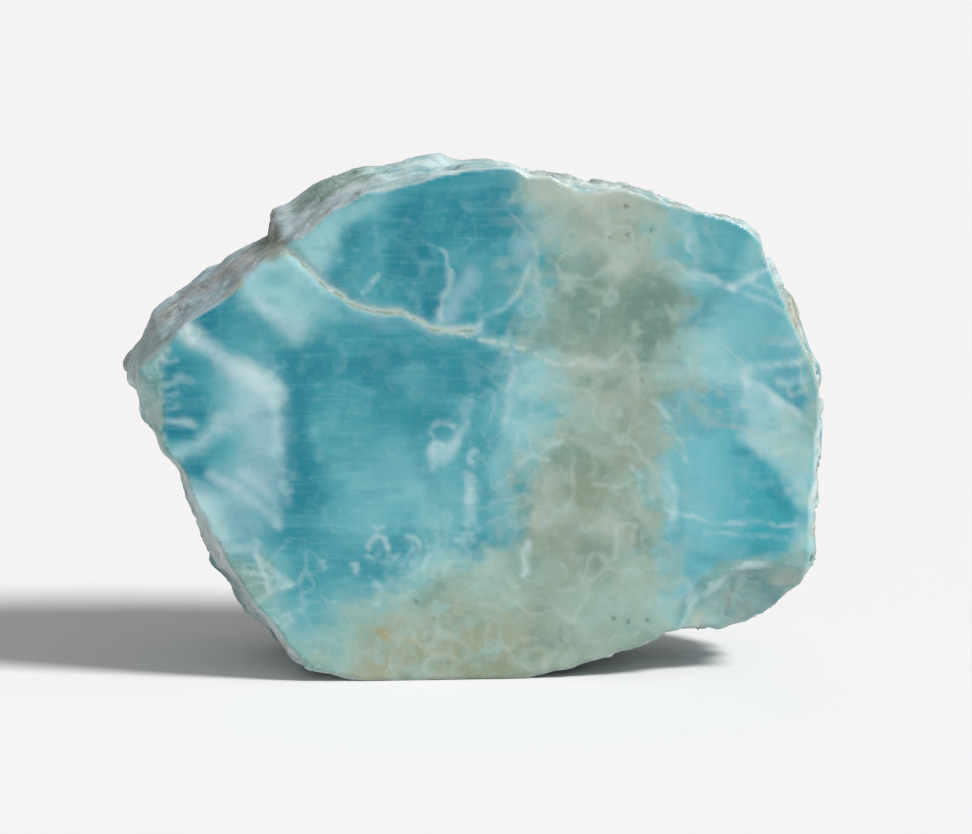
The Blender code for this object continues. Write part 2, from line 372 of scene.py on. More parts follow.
def cloudy(size, octaves, seed, across_by=1.0):
    """A number around 0 for each point, in clouds about that many millimetres across."""
    shift = Vector((31.7 * seed, 17.3 * seed, 47.1 * seed))
    shrink = Vector((across_by / size, 1 / size, 1 / size))
    return np.array([solid_noise.fractal(point * shrink + shift, 0.7, 2.0, octaves) for point in points])


def rising(value, low, high):
    """0 up to low, 1 from high on, and a smooth curve between them."""
    part = np.clip((value - low) / (high - low), 0, 1)
    return part * part * (3 - 2 * part)


def falling(value, low, high):
    """1 up to low, 0 from high on, and a smooth curve between them."""
    return 1 - rising(value, low, high)


# On the left the stone is as clear as glass, so its patches have smoother edges there.
unrest = rising(flat_x, -24.0, -15.0)
fine_cloud = cloudy(2.2, 5, 1) * (0.4 + 0.6 * unrest)
soft_reach = (0.4 + 0.7 * unrest) * (1 + 0.12 * depth)
soft_x = flat_x + soft_reach * cloudy(5.5, 5, 2)
soft_z = flat_z + soft_reach * cloudy(5.5, 5, 3)
fine_reach = 0.3 + 0.2 * unrest
fine_x = flat_x + fine_reach * cloudy(3.0, 4, 4)
fine_z = flat_z + fine_reach * cloudy(3.0, 4, 5)


def lay(colour, amount):
    """Lays a colour over the paint, by an amount from 0 to 1 at each point."""
    paint[:] += (np.array(colour[:3]) - paint) * np.clip(amount, 0, 1)[:, None]


def oval(across, height, wide, tall, turn, soft, strength=1.0):
    """A soft oval with ragged edges, turned by that many degrees."""
    cosine, sine = math.cos(math.radians(turn)), math.sin(math.radians(turn))
    right_by, up_by = soft_x - across, soft_z - height
    far = np.hypot((right_by * cosine + up_by * sine) / wide, (up_by * cosine - right_by * sine) / tall)
    return strength * falling(far + RAGGED * fine_cloud, 1 - soft, 1 + soft)


def patches(colour, ovals):
    """Lays soft oval patches of one colour. Each is (across, height, wide, tall, turn, soft, strength)."""
    for each in ovals:
        lay(colour, oval(*each))


broken_up = np.maximum(rising(cloudy(2.6, 3, 6), -0.45, 0.15), 0.5 * (1 - unrest))


def veins(colour, lines):
    """Lays thin lines of one colour, which fade in places. Each is (corners, half its width, strength)."""
    for corners, width, strength in lines:
        near = falling(from_line(corners, fine_x, fine_z), 0.0, 2.1 * width)
        lay(colour, near * strength * (0.35 + 0.5 * broken_up))


def side_of(course, soft, along=None, beside=None):
    """0 on a boundary's low side and 1 on its high side. Without along and beside, it runs upright."""
    along = soft_z if along is None else along
    beside = soft_x if beside is None else beside
    edge = np.interp(along, [stop[0] for stop in course], [stop[1] for stop in course])
    return rising(beside - edge + fine_cloud * soft, -soft, soft)


def within(corners, soft):
    """1 inside a figure with straight sides, its corners given against the clock, and 0 outside it."""
    inside = np.full(len(points), 99.0)
    for (x0, z0), (x1, z1) in zip(corners, corners[1:] + corners[:1]):
        long = math.hypot(x1 - x0, z1 - z0)
        inside = np.minimum(inside, ((x1 - x0) * (fine_z - z0) - (z1 - z0) * (fine_x - x0)) / long)
    return rising(inside, -soft, soft)


# The blue ground: clouds of every size, drawn out level by the fibres that it has grown from.
drift = cloudy(9.0, 5, 7)
streaks = cloudy(3.4, 4, 8, 0.3)
lay(SEA, rising(drift, -0.1, 0.5) * 0.45)
lay(DEEP, rising(-drift, 0.05, 0.6) * 0.5)

# The great blue field left of the middle, and the darker block above the crack.
patches(SKY, (
    (-8.2, 23.3, 5.4, 4.2, 0, 0.9, 0.9),
    (-8.0, 23.0, 2.6, 2.0, 0, 0.9, 0.5),
    (-13.5, 18.4, 3.4, 2.8, 20, 0.9, 0.6),
    (-6.5, 34.5, 4.5, 2.2, -20, 0.9, 0.25),
    (-2.5, 20.5, 3.4, 5.5, -15, 0.8, 0.4),
    (-9.0, 12.0, 6.0, 2.2, 20, 0.8, 0.35),
    (-14.0, 26.0, 4.0, 3.0, 0, 0.9, 0.2),
))
patches(TEAL, (
    (-1.2, 36.6, 3.6, 3.4, 0, 0.7, 0.75),
    (-18.0, 15.0, 3.4, 5.0, 0, 0.8, 0.5),
    (-9.5, 30.2, 5.0, 2.2, -8, 0.9, 0.35),
    (-5.0, 27.6, 2.6, 1.6, 10, 0.9, 0.3),
))
patches(DEEP, (
    (-20.4, 30.0, 1.9, 9.0, 2, 0.6, 0.85),
    (-19.4, 37.4, 3.6, 2.6, 25, 0.8, 0.7),
    (-14.6, 36.6, 3.8, 1.6, 15, 0.9, 0.4),
    (-4.4, 22.5, 1.0, 4.5, 15, 0.9, 0.3),
    (-11.0, 38.0, 4.4, 2.0, 25, 0.9, 0.45),
    (-10.6, 34.8, 1.2, 2.4, 20, 0.9, 0.3),
    (-0.4, 35.6, 1.8, 2.0, 0, 0.9, 0.35),
    (-18.4, 24.0, 2.0, 3.0, 0, 0.9, 0.3),
    (-13.0, 52.0, 2.0, 1.7, 0, 0.8, 0.85),
    (-7.4, 52.5, 2.4, 5.0, 5, 0.7, 0.9),
    (-6.6, 48.0, 3.6, 3.2, 0, 0.8, 0.8),
    (-4.4, 43.8, 1.1, 2.8, -8, 0.6, 0.85),
    (2.0, 53.0, 4.4, 3.0, 10, 0.9, 0.7),
    (-1.0, 56.0, 4.0, 1.4, 5, 0.9, 0.4),
    (-15.5, 47.5, 2.2, 2.2, 0, 0.9, 0.45),
    (3.6, 41.6, 1.6, 1.2, 0, 0.8, 0.4),
))
patches(SEA, (
    (-11.4, 55.6, 3.4, 1.8, 20, 0.8, 0.7),
    (-11.6, 48.0, 1.6, 3.0, -20, 0.9, 0.5),
    (1.8, 57.6, 4.0, 1.2, 0, 0.8, 0.6),
    (-0.4, 49.6, 3.2, 1.4, 10, 0.9, 0.4),
))

# Pale ground on the upper left: under the notch, and along the rim of the dark block.
patches(AQUA, (
    (-18.6, 50.6, 2.6, 4.4, -35, 0.6, 0.85),
    (-13.5, 54.9, 3.4, 1.3, 25, 0.7, 0.6),
    (-17.0, 52.8, 1.6, 1.6, 0, 0.8, 0.6),
    (-22.8, 46.4, 4.0, 3.6, 0, 0.6, 0.95),
    (-21.0, 42.8, 3.2, 2.6, -40, 0.6, 0.85),
    (-17.6, 44.4, 2.6, 1.8, -40, 0.7, 0.55),
))
patches(CLOUD, (
    (-23.4, 43.4, 2.8, 0.8, -48, 0.7, 0.95),
    (-24.0, 49.2, 2.6, 1.4, 35, 0.8, 0.6),
    (-25.5, 47.6, 1.9, 0.8, 40, 0.7, 0.6),
    (-21.0, 41.2, 1.6, 1.1, -30, 0.8, 0.8),
    (-18.8, 48.6, 1.4, 1.9, -35, 0.8, 0.4),
))
patches(SEA, (
    (-22.3, 47.2, 1.7, 1.1, -10, 0.7, 0.55),
    (-19.8, 45.4, 1.2, 0.8, -20, 0.8, 0.3),
))

# The wedge of dark blue at the left rim, the white band below it, and the cloud that the band opens into.
patches(DEEP, (
    (-31.0, 41.8, 2.5, 1.7, 28, 0.6, 0.95),
    (-28.0, 41.0, 3.4, 1.7, 8, 0.8, 0.65),
))
patches(SEA, (
    (-25.2, 40.4, 3.0, 2.2, -20, 0.8, 0.6),
    (-24.6, 37.8, 2.4, 1.0, -25, 0.8, 0.5),
))
patches(CLOUD, (
    (-26.4, 34.2, 3.8, 2.4, -25, 0.8, 0.9),
    (-28.0, 31.6, 1.6, 3.4, -40, 0.9, 0.45),
    (-25.0, 30.0, 2.9, 4.8, 8, 0.9, 0.7),
    (-26.0, 25.0, 3.2, 2.6, -25, 0.9, 0.6),
    (-31.2, 21.4, 3.4, 1.9, -50, 0.7, 0.9),
    (-31.6, 38.0, 1.4, 0.8, -40, 0.8, 0.4),
    (-27.4, 21.6, 2.4, 1.3, -20, 0.9, 0.5),
    (-32.4, 22.0, 1.6, 3.0, 25, 0.9, 0.5),
))
patches(SEA, (
    (-28.4, 34.9, 1.3, 1.0, -20, 0.9, 0.35),
    (-28.2, 27.2, 2.6, 1.9, -35, 0.8, 0.75),
    (-26.6, 29.0, 1.4, 1.0, -35, 0.9, 0.25),
))
patches(LAVENDER, (
    (-23.9, 31.0, 1.7, 5.6, 3, 0.9, 0.7),
    (-24.4, 24.0, 1.9, 2.8, 20, 0.9, 0.6),
    (-27.0, 36.6, 3.2, 0.9, -28, 0.7, 0.5),
    (-25.6, 32.2, 1.2, 2.4, -35, 0.9, 0.3),
))
veins(WHITE, (
    (((-33.6, 42.4), (-32.6, 40.9), (-30.8, 39.2), (-28.6, 37.6), (-26.6, 36.6), (-24.6, 35.4),
      (-22.8, 34.0)), 1.1, 1.1),
    (((-24.6, 35.2), (-23.0, 33.0), (-22.4, 30.0), (-22.6, 27.0)), 0.5, 0.35),
    (((-25.2, 33.0), (-27.0, 31.6), (-28.6, 29.6)), 0.7, 0.3),
))

# The left edge: scalloped pools of blue with white between them, and outside them a frosted green chamfer.
patches(TEAL, (
    (-32.6, 36.8, 2.6, 2.1, 0, 0.5, 0.9),
    (-30.4, 28.4, 2.2, 1.6, -30, 0.8, 0.7),
    (-31.8, 33.0, 4.0, 3.6, 0, 0.8, 0.9),
    (-31.8, 37.2, 3.0, 1.6, -20, 0.8, 0.8),
))
patches(DEEP, (
    (-33.2, 36.9, 1.5, 1.2, 0, 0.8, 0.7),
    (-32.8, 32.6, 2.6, 2.1, 0, 0.7, 1.0),
    (-34.2, 36.4, 0.9, 0.6, 0, 0.5, 0.8),
    (-34.3, 34.3, 0.9, 0.4, 10, 0.6, 0.9),
    (-34.4, 32.9, 0.9, 0.45, 10, 0.6, 0.9),
    (-34.2, 31.6, 1.1, 0.5, 10, 0.6, 0.9),
    (-33.6, 29.5, 1.7, 0.9, -10, 0.5, 0.95),
    (-31.9, 25.3, 1.9, 1.4, -30, 0.6, 0.9),
    (-31.8, 23.0, 1.2, 0.9, -30, 0.8, 0.5),
))
veins(WHITE, (
    (((-35.4, 35.0), (-34.2, 35.4), (-33.4, 35.6), (-32.4, 35.3)), 0.5, 0.35),
    (((-35.6, 31.0), (-34.4, 30.8), (-33.2, 30.9), (-32.0, 30.4)), 0.5, 0.45),
    (((-34.2, 26.5), (-33.0, 27.2), (-31.6, 27.7), (-30.2, 28.9), (-28.8, 30.8)), 0.8, 0.5),
    (((-35.6, 33.6), (-34.4, 33.7), (-33.8, 34.0)), 0.3, 0.4),
    (((-35.6, 32.3), (-34.4, 32.3), (-33.8, 32.5)), 0.3, 0.4),
    (((-35.8, 37.6), (-34.4, 37.6), (-33.8, 37.8)), 0.3, 0.4),
))
CHAMFER = (
    (20, -33.8), (24, -34.2), (27, -34.7), (30, -35.2), (35, -35.3), (38, -34.9), (40.5, -34.2),
    (42, -33.4), (44, -34.0))
chamfer = (1 - side_of(CHAMFER, 0.5, fine_z, fine_x)) * rising(fine_z, 24.0, 26.5)
frosting = cloudy(1.0, 4, 9)
lay(shade(124, 165, 162), chamfer * 0.9)
lay(shade(164, 194, 190), chamfer * rising(frosting, 0.0, 0.5) * 0.8)
lay(shade(84, 132, 126), chamfer * rising(-frosting, 0.15, 0.55) * 0.6)
patches(DEEP, (
    (-34.5, 36.9, 1.0, 0.50, 0, 0.6, 0.9),
    (-34.7, 35.8, 0.7, 0.35, 0, 0.6, 0.8),
    (-34.6, 34.4, 0.9, 0.35, 5, 0.6, 0.9),
    (-34.5, 33.4, 0.8, 0.30, 5, 0.6, 0.8),
    (-34.7, 32.4, 0.9, 0.30, 5, 0.6, 0.9),
    (-34.6, 31.4, 1.0, 0.40, 5, 0.6, 0.9),
    (-34.2, 29.6, 1.4, 0.70, -10, 0.6, 0.95),
))

# Lower left: pale streaks that sweep down from the cloud, and a net of white threads over green-grey.
patches(LAVENDER, (
    (-26.6, 18.6, 2.8, 2.1, 0, 0.8, 0.6),
))
patches(AQUA, (
    (-30.4, 17.8, 2.2, 3.2, 30, 0.7, 0.7),
    (-22.4, 6.8, 2.8, 3.2, 30, 0.8, 0.3),
    (-26.6, 16.0, 2.4, 1.2, 0, 0.8, 0.6),
    (-16.5, 9.4, 4.5, 1.3, 3, 0.8, 0.2),
    (-22.6, 13.6, 1.4, 2.6, 20, 0.9, 0.4),
))
patches(MOSS, (
    (-26.6, 12.8, 1.7, 1.6, 0, 0.6, 0.7),
    (-24.6, 10.9, 1.8, 1.3, 20, 0.6, 0.65),
    (-24.0, 14.0, 0.9, 1.3, 10, 0.7, 0.55),
    (-28.6, 14.6, 0.9, 2.4, 32, 0.7, 0.45),
    (-25.0, 8.6, 1.0, 0.9, 0, 0.7, 0.5),
))
patches(MINT, (
    (-18.0, 2.6, 5.5, 2.0, -6, 0.8, 0.5),
    (-29.8, 14.8, 0.9, 4.6, 34, 0.6, 0.8),
    (-25.6, 7.6, 1.0, 3.6, 36, 0.7, 0.7),
    (-24.2, 10.2, 1.6, 5.5, 38, 0.9, 0.45),
    (-20.0, 5.2, 1.6, 3.5, 45, 0.9, 0.5),
))
patches(SEA, (
    (-18.6, 7.6, 2.2, 1.8, 0, 0.8, 0.55),
))
patches(WHITE, (
    (-31.4, 20.4, 1.2, 2.4, 28, 0.9, 0.5),
    (-29.2, 16.6, 1.0, 1.6, 25, 0.9, 0.4),
))
veins(WHITE, (
    (((-30.2, 24.4), (-27.4, 23.0), (-25.6, 21.8), (-23.8, 20.2), (-22.6, 18.4)), 0.5, 0.42),
    (((-26.6, 24.8), (-24.4, 23.2), (-22.8, 21.2), (-22.2, 19.0)), 0.5, 0.3),
    (((-28.6, 16.0), (-26.8, 15.8), (-25.0, 15.2), (-23.2, 13.2), (-21.4, 11.6)), 0.4, 0.4),
    (((-25.8, 8.9), (-24.4, 10.1), (-22.8, 10.9), (-20.9, 11.4)), 0.3, 0.5),
    (((-24.9, 16.4), (-25.0, 15.2), (-24.6, 14.0), (-24.0, 12.6), (-23.6, 10.8)), 0.24, 0.55),
    (((-24.6, 8.0), (-22.8, 7.2), (-21.2, 8.0), (-20.8, 7.2), (-22.0, 6.4)), 0.3, 0.5),
    (((-26.2, 13.4), (-24.8, 12.8), (-23.2, 12.2)), 0.24, 0.5),
))

# White ribs stand upright where the cloud ends against the dark blue.
CLOUD_END = ((-21.5, 22.0), (-22.2, 26.0), (-22.8, 30.0), (-23.1, 35.0), (-22.6, 38.5))
ribs = falling(from_line(CLOUD_END, soft_x, soft_z), 0.3, 1.9)
lay(CLOUD, ribs * rising(cloudy(1.7, 3, 10), -0.15, 0.5) * 0.35)

# The green-white ground along the bottom, paler above and olive at the very edge.
GROUND = (
    (-45.0, -4.0), (-22.0, -1.0), (-16.5, 3.4), (-14.2, 6.4), (-11.8, 8.6), (-9.0, 9.8), (-6.0, 10.6),
    (-4.0, 12.0), (-2.0, 13.8), (0.0, 14.2), (2.5, 15.0), (4.5, 16.0), (6.5, 17.2), (12.0, 40.0),
    (45.0, 40.0))
ground = 1 - side_of(GROUND, 2.4, soft_x, soft_z)
lay(shade(153, 177, 163), ground * 0.9)
lay(shade(156, 160, 132), ground * falling(soft_z, 3.0, 13.0) * 0.9)
lay(MOSS, ground * rising(cloudy(4.0, 5, 11), 0.05, 0.5) * 0.5)
lay(AQUA, ground * rising(cloudy(2.8, 5, 12), 0.1, 0.55) * 0.35)
patches(shade(146, 187, 182), (
    (-13.2, 7.6, 4.6, 2.0, 30, 0.9, 0.7),
    (-6.6, 11.6, 4.4, 1.7, 25, 0.9, 0.65),
    (-16.2, 4.0, 2.8, 2.8, 0, 0.9, 0.6),
    (-1.0, 14.6, 3.0, 1.4, 15, 0.9, 0.5),
))
patches(OLIVE, (
    (2.5, 1.2, 6.5, 1.7, 0, 0.7, 0.75),
    (-8.5, 4.6, 5.5, 2.6, -8, 0.9, 0.35),
    (-1.5, 4.0, 3.5, 2.4, 0, 0.9, 0.2),
))
patches(MINT, (
    (2.6, 11.5, 4.0, 2.6, 20, 0.8, 0.6),
    (-8.2, 8.8, 2.4, 1.2, -25, 0.8, 0.45),
    (-14.6, 3.6, 2.4, 2.6, 0, 0.8, 0.5),
))
patches(SAGE, (
    (-3.4, 10.9, 0.8, 0.9, 0, 0.8, 0.4),
    (-6.6, 9.2, 2.2, 0.7, 10, 0.9, 0.3),
))
patches(OCHRE, (
    (-10.2, 5.4, 0.9, 0.5, -20, 0.8, 0.75),
    (-7.3, 4.9, 1.1, 0.4, -15, 0.8, 0.75),
    (-9.2, 7.5, 1.4, 0.6, 10, 0.9, 0.3),
    (-9.0, 3.2, 1.8, 0.6, 30, 0.9, 0.3),
))

# The green-grey band right of the middle, beige at its top, darkest at two thirds of its height, and the
# lighter blue block on the right of it.
BAND_RIGHT = (
    (-4, 26), (5, 23.4), (9, 22.2), (13, 21.2), (18, 20.8), (22, 21.0), (27, 22.4), (30, 23.4),
    (35, 24.6), (38, 25.4), (42, 25.8), (45, 25.0), (47, 23.4), (50, 22.4), (53, 21.2), (57, 19.4),
    (64, 18.0))
BAND_LEFT = (
    (-4, 6.4), (4, 6.2), (8, 5.8), (15, 5.9), (20, 5.3), (24.5, 5.4), (27, 7.4), (30, 9.2), (34, 8.6),
    (37, 6.6), (39.5, 5.6), (42, 6.4), (45, 7.4), (48, 9.4), (50, 9.8), (52, 8.4), (55, 8.8), (58, 6.8),
    (60, 5.0), (64, 4.0))
right = side_of(BAND_RIGHT, 2.6)
lay(AZURE, right)
lay(SEA, right * rising(-drift, 0.0, 0.4) * 0.5)
band = (1 - right) * side_of(BAND_LEFT, 3.4)
marbling = cloudy(4.4, 5, 13)
lay(shade(143, 162, 147), band * 0.92)
lay(shade(112, 158, 158), band * falling(soft_x, 6.0, 14.0) * rising(soft_z, 36.0, 42.0) * 0.5)
lay(SAGE, band * rising(marbling, 0.05, 0.55) * 0.5)
lay(shade(160, 180, 169), band * rising(-marbling, 0.05, 0.55) * 0.55)
patches(BEIGE, (
    (13.5, 56.6, 6.6, 2.4, -6, 0.8, 0.9),
    (9.0, 57.2, 2.4, 2.0, -40, 0.7, 0.7),
    (15.0, 52.6, 4.4, 2.4, -15, 0.9, 0.55),
    (18.0, 48.0, 3.6, 2.0, -30, 0.9, 0.5),
    (12.0, 36.8, 3.0, 0.8, -12, 0.8, 0.6),
    (18.0, 36.2, 4.6, 0.9, 0, 0.8, 0.4),
    (17.0, 33.0, 3.2, 1.8, 0, 0.9, 0.35),
    (15.8, 17.4, 3.2, 1.1, -35, 0.8, 0.5),
    (8.4, 22.5, 1.2, 3.4, 10, 0.9, 0.3),
    (9.4, 18.0, 1.0, 3.0, 30, 0.9, 0.25),
))
patches(SAGE, (
    (20.4, 43.6, 3.4, 3.8, 0, 0.8, 0.9),
    (20.4, 38.8, 2.2, 2.6, 0, 0.8, 0.8),
    (14.0, 41.5, 3.0, 4.0, 10, 0.9, 0.45),
    (12.4, 46.6, 2.6, 1.8, 0, 0.9, 0.5),
    (16.2, 35.0, 1.2, 0.9, 0, 0.8, 0.5),
    (22.6, 33.0, 1.4, 2.6, 0, 0.9, 0.5),
    (19.5, 29.0, 2.6, 1.6, 0, 0.9, 0.35),
    (11.4, 25.4, 2.6, 1.4, -10, 0.9, 0.4),
    (6.0, 15.0, 0.8, 3.4, 0, 0.9, 0.2),
))
patches(OLIVE, (
    (13.4, 22.2, 2.4, 2.6, 0, 0.9, 0.8),
    (17.8, 27.4, 1.2, 3.4, 0, 0.9, 0.55),
    (10.4, 16.8, 2.6, 2.2, 0, 0.9, 0.4),
    (7.6, 8.2, 1.4, 2.8, 0, 0.9, 0.35),
    (13.0, 12.4, 3.0, 2.6, 0, 0.9, 0.3),
    (10.5, 53.0, 1.2, 2.0, 30, 0.9, 0.3),
    (4.8, 20.8, 0.8, 1.6, 0, 0.9, 0.3),
))
patches(MINT, (
    (17.0, 8.0, 5.5, 3.0, 0, 0.9, 0.6),
    (18.2, 13.4, 2.0, 1.4, -30, 0.8, 0.6),
    (11.0, 50.6, 1.2, 3.6, 20, 0.9, 0.35),
    (18.8, 22.6, 0.9, 2.4, 0, 0.8, 0.35),
    (21.5, 51.5, 1.6, 3.0, 15, 0.8, 0.5),
    (12.6, 30.6, 3.4, 1.6, 0, 0.9, 0.4),
    (4.0, 13.4, 3.0, 1.6, 20, 0.9, 0.4),
))

# Between the blue field and the band the colour turns pale turquoise, with the field's sharp edge in it.
patches(AQUA, (
    (6.6, 35.5, 3.0, 2.4, -10, 0.7, 0.9),
    (5.4, 29.6, 3.0, 3.8, 0, 0.8, 0.85),
    (9.6, 34.0, 2.2, 2.2, 0, 0.9, 0.5),
    (2.8, 23.0, 1.4, 4.4, 10, 0.8, 0.5),
    (7.0, 43.6, 1.4, 3.0, 10, 0.8, 0.45),
    (3.4, 39.6, 2.2, 1.0, -20, 0.7, 0.5),
    (-4.0, 18.4, 1.4, 2.4, 30, 0.9, 0.4),
    (-4.8, 13.6, 2.6, 1.4, 30, 0.9, 0.5),
))
patches(TEAL, (
    (1.4, 27.8, 0.9, 3.4, -20, 0.8, 0.6),
    (3.0, 48.0, 2.4, 3.0, 0, 0.9, 0.45),
    (5.6, 46.6, 1.0, 1.8, 0, 0.9, 0.3),
    (-0.2, 24.4, 0.8, 1.8, 0, 0.9, 0.4),
))
patches(SEA, (
    (3.8, 19.4, 1.4, 3.4, 0, 0.8, 0.5),
    (6.2, 31.8, 1.8, 0.8, 10, 0.9, 0.35),
    (8.6, 31.6, 2.2, 0.7, -15, 0.9, 0.3),
))
patches(LAVENDER, (
    (6.2, 51.0, 1.3, 0.8, 0, 0.7, 0.7),
    (8.6, 53.2, 0.9, 0.6, 0, 0.7, 0.6),
    (7.0, 55.6, 0.8, 0.8, 0, 0.7, 0.6),
    (-2.0, 44.0, 1.1, 3.4, -22, 0.8, 0.65),
    (-2.9, 42.2, 1.0, 1.4, 0, 0.8, 0.5),
    (-0.4, 46.6, 1.0, 1.6, -30, 0.9, 0.4),
    (-11.5, 42.0, 2.8, 0.6, -10, 0.9, 0.3),
))
veins(WHITE, (
    (((-3.9, 42.2), (-3.2, 44.6), (-2.6, 46.4), (-2.5, 47.6)), 0.35, 0.55),
    (((-2.6, 48.0), (-3.2, 49.2), (-3.8, 50.2)), 0.2, 0.5),
    (((0.2, 40.8), (1.4, 42.4), (3.6, 43.4), (5.2, 44.8), (6.0, 46.6), (6.9, 48.4)), 0.3, 0.5),
    (((-12.6, 45.4), (-11.6, 46.4), (-10.6, 47.3)), 0.22, 0.55),
    (((4.6, 38.4), (4.7, 36.4), (4.2, 34.0), (4.4, 32.0), (3.4, 30.4)), 0.32, 0.5),
    (((-4.4, 25.0), (-4.2, 27.4), (-4.7, 29.0), (-4.0, 30.4)), 0.3, 0.35),
    (((8.4, 27.6), (9.4, 27.9), (10.2, 28.1)), 0.3, 0.5),
    (((5.2, 25.2), (7.0, 25.9), (8.6, 25.6)), 0.22, 0.4),
    (((-0.6, 24.0), (-0.2, 22.4), (-0.6, 20.4), (-0.4, 18.6)), 0.45, 0.7),
    (((6.3, 16.0), (6.1, 14.4), (6.3, 13.0), (5.9, 12.2)), 0.3, 0.6),
    (((-7.6, 17.0), (-6.4, 16.2), (-6.0, 15.2), (-7.0, 13.8)), 0.3, 0.5),
    (((-5.4, 16.4), (-5.0, 14.8), (-5.6, 13.2), (-7.4, 12.2)), 0.25, 0.45),
    (((-11.2, 11.8), (-10.9, 10.4), (-11.4, 9.2)), 0.35, 0.45),
))

# Broken white rings and hooks: the outlines of small grown balls that the saw went through.
veins(WHITE, (
    (((-4.3, 29.7), (-3.9, 30.3), (-3.0, 30.4), (-2.4, 30.2)), 0.3, 0.75),
    (((-0.6, 32.2), (-1.0, 30.6), (-1.6, 29.0), (-2.2, 27.6), (-3.4, 26.6), (-4.4, 26.4)), 0.55, 0.6),
    (((-4.6, 27.2), (-4.2, 27.7), (-3.4, 27.5)), 0.3, 0.6),
    (((-12.4, 15.6), (-12.2, 16.4), (-11.4, 17.0), (-10.4, 16.8), (-10.2, 15.8)), 0.24, 0.8),
    (((-12.6, 14.8), (-11.6, 14.4), (-11.0, 15.0)), 0.22, 0.6),
    (((-11.8, 18.2), (-11.0, 17.6), (-10.4, 17.8)), 0.2, 0.6),
    (((-9.8, 15.0), (-9.2, 14.8), (-8.8, 15.2)), 0.3, 0.5),
    (((-14.2, 13.6), (-13.6, 13.8), (-13.4, 13.2), (-13.8, 12.8)), 0.26, 0.6),
    (((0.2, 26.6), (-0.2, 25.6), (0.2, 24.8)), 0.3, 0.5),
    (((-7.0, 15.6), (-8.0, 14.4), (-8.4, 13.0)), 0.2, 0.5),
    (((-17.2, 14.2), (-17.6, 13.8), (-17.0, 13.4)), 0.2, 0.4),
    (((-17.0, 9.6), (-16.6, 9.2), (-16.0, 9.4)), 0.22, 0.4),
))
patches(CLOUD, (
    (-3.2, 26.9, 1.3, 0.8, 20, 0.7, 0.5),
    (-1.2, 17.0, 0.9, 0.7, 0, 0.7, 0.6),
    (-9.4, 14.4, 0.9, 0.6, 0, 0.7, 0.4),
    (-0.2, 20.6, 0.6, 2.4, 0, 0.8, 0.4),
))

# The right-hand block: a darker upper field, white diagonals, and a deep blue pool with straight sides.
patches(SEA, (
    (28.0, 51.0, 4.8, 3.6, 0, 0.7, 0.9),
    (26.4, 42.6, 1.4, 3.6, -28, 0.8, 0.75),
    (34.9, 41.6, 1.8, 1.4, 0, 0.8, 0.6),
    (34.6, 38.2, 2.2, 1.3, 0, 0.8, 0.7),
    (34.6, 33.6, 1.5, 1.6, 0, 0.7, 0.7),
    (29.0, 31.4, 2.6, 1.4, 20, 0.9, 0.5),
    (24.5, 31.0, 1.8, 2.2, 0, 0.9, 0.5),
    (23.4, 14.0, 1.8, 2.6, 20, 0.9, 0.5),
))
patches(TEAL, (
    (26.4, 50.0, 1.8, 1.6, 0, 0.9, 0.4),
    (28.6, 47.8, 1.8, 1.0, 20, 0.8, 0.5),
    (35.8, 35.2, 1.2, 1.0, 0, 0.8, 0.5),
    (36.0, 29.6, 1.0, 1.4, 0, 0.8, 0.5),
    (31.0, 52.4, 2.0, 1.0, -20, 0.9, 0.3),
))
patches(DEEP, (
    (37.1, 32.6, 1.0, 1.7, 0, 0.8, 0.55),
    (27.2, 43.0, 0.9, 3.0, -30, 0.9, 0.5),
    (25.4, 41.0, 1.2, 1.6, -20, 0.9, 0.3),
))
patches(SKY, (
    (31.0, 40.6, 3.4, 2.6, -10, 0.9, 0.8),
    (33.2, 45.4, 2.8, 1.6, -20, 0.8, 0.7),
    (27.6, 37.4, 3.4, 2.2, 0, 0.9, 0.9),
    (24.0, 25.4, 1.7, 3.5, 0, 0.9, 0.6),
))
patches(AQUA, (
    (33.0, 49.8, 1.6, 3.2, -24, 0.8, 0.5),
    (24.8, 46.6, 3.0, 0.9, -14, 0.8, 0.5),
    (24.6, 51.6, 1.0, 2.6, 20, 0.9, 0.5),
    (36.8, 40.6, 0.9, 2.6, 10, 0.8, 0.45),
    (31.4, 33.4, 1.8, 2.4, 20, 0.8, 0.5),
    (27.0, 38.4, 2.4, 2.2, 20, 0.9, 0.8),
    (29.6, 36.0, 3.6, 0.9, 0, 0.9, 0.55),
    (22.6, 21.6, 1.2, 3.6, 5, 0.9, 0.6),
    (22.8, 35.6, 1.6, 1.0, 0, 0.8, 0.5),
    (23.0, 8.6, 2.2, 1.6, 20, 0.9, 0.5),
))
POOL = ((24.2, 13.4), (27.0, 12.3), (33.0, 12.6), (36.0, 13.2), (37.4, 17.0), (37.7, 19.8), (34.0, 24.8),
        (31.4, 28.0), (29.0, 29.0), (24.6, 27.6))
pool = within(POOL, 0.45) * falling(-soft_x, -26.5, -22.5)
lay(shade(112, 184, 194), pool)
lay(shade(54, 158, 172), pool * rising(soft_x, 25.5, 34.0))
lay(SEA, pool * falling(soft_z, 13.5, 18.0) * 0.5)
patches(DEEP, (
    (35.4, 20.6, 0.8, 2.8, 38, 0.8, 0.45),
    (33.6, 14.4, 2.6, 1.2, 20, 0.8, 0.3),
    (31.0, 26.6, 1.6, 0.7, -35, 0.8, 0.45),
    (27.0, 13.6, 1.8, 0.7, 0, 0.9, 0.3),
))
patches(CLOUD, (
    (33.4, 28.0, 2.2, 1.5, -38, 0.7, 0.9),
    (35.2, 31.2, 2.0, 0.8, -40, 0.8, 0.8),
    (32.8, 31.0, 0.8, 2.4, 10, 0.8, 0.5),
    (36.4, 27.0, 1.0, 1.6, 20, 0.8, 0.5),
))
